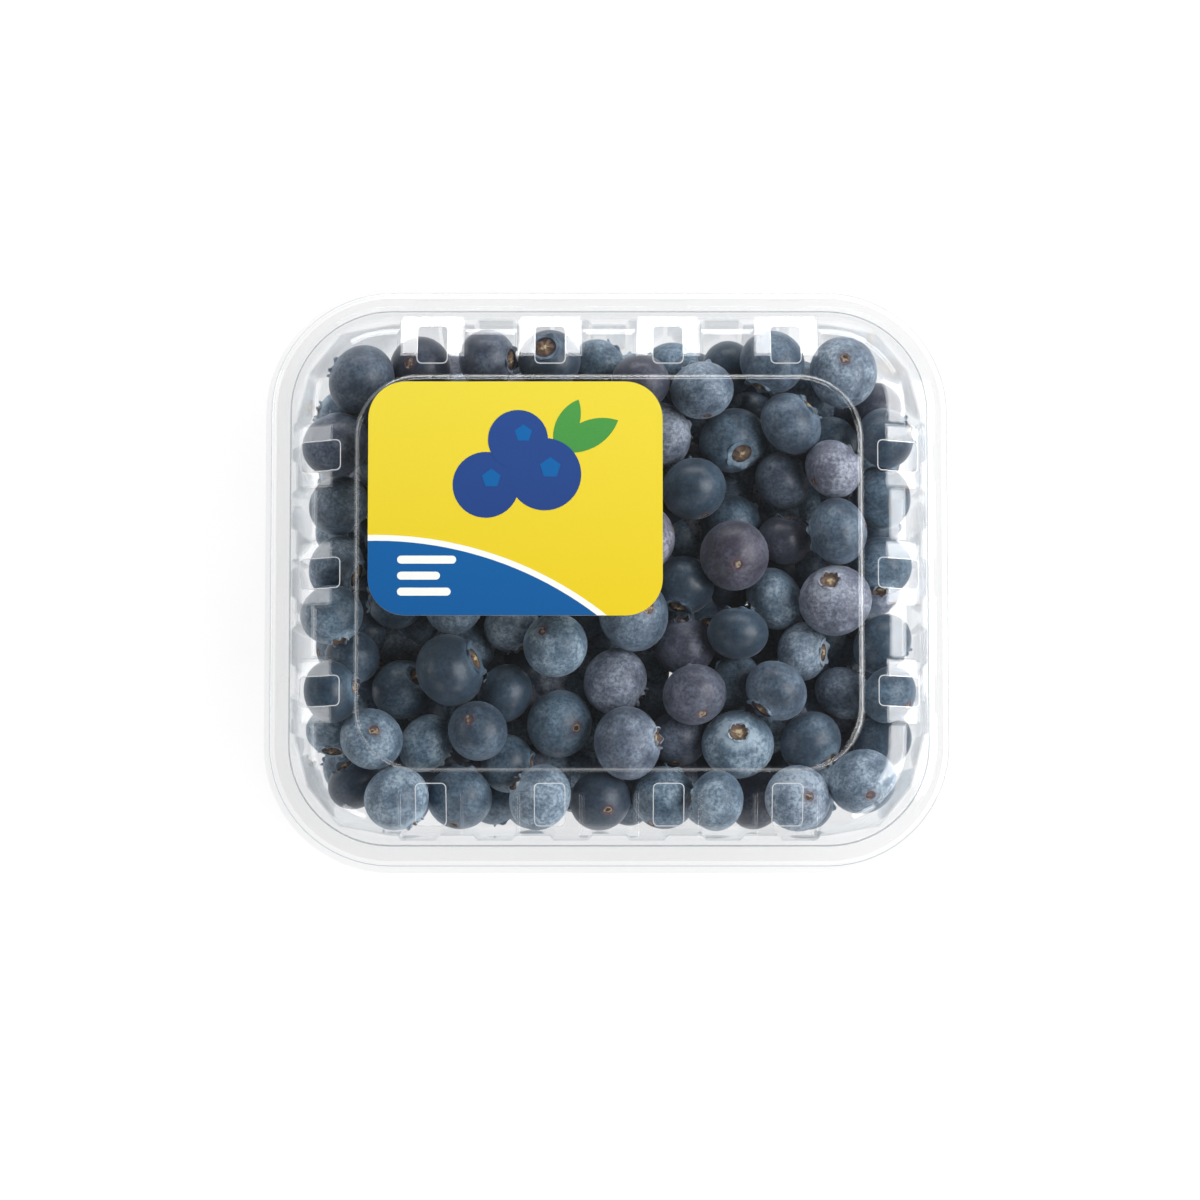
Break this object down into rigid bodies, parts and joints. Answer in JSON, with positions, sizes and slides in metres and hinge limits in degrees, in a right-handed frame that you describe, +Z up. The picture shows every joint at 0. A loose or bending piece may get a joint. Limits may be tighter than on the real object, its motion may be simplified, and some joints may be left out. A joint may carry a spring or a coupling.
{
  "type": "punnet of blueberries",
  "caption": "Shut clear plastic punnet with ribbed tray, vented domed lid with a finger tab, a plain coloured sticker, and blueberries heaped inside.",
  "frame": {"origin": "middle of the footprint, at the height of the surface that the punnet stands on", "axes": "+X along the long side, to the right in the picture; +Y towards the back, the side with the finger tab's corner; +Z up"},
  "size_m": [0.13, 0.111, 0.0375],
  "materials": {
    "tray": "clear thermoformed PET sheet, glossy",
    "lid": "clear thermoformed PET sheet, glossy",
    "label": "satin printed film sticker, yellow over blue with simple fruit shapes",
    "berries": "dark blue fruit skin with a waxy grey-blue bloom"
  },
  "bodies": {
    "root": {"tray": "tray", "lid": "lid", "label": "label", "berries": "berries"}
  },
  "joints": []
}
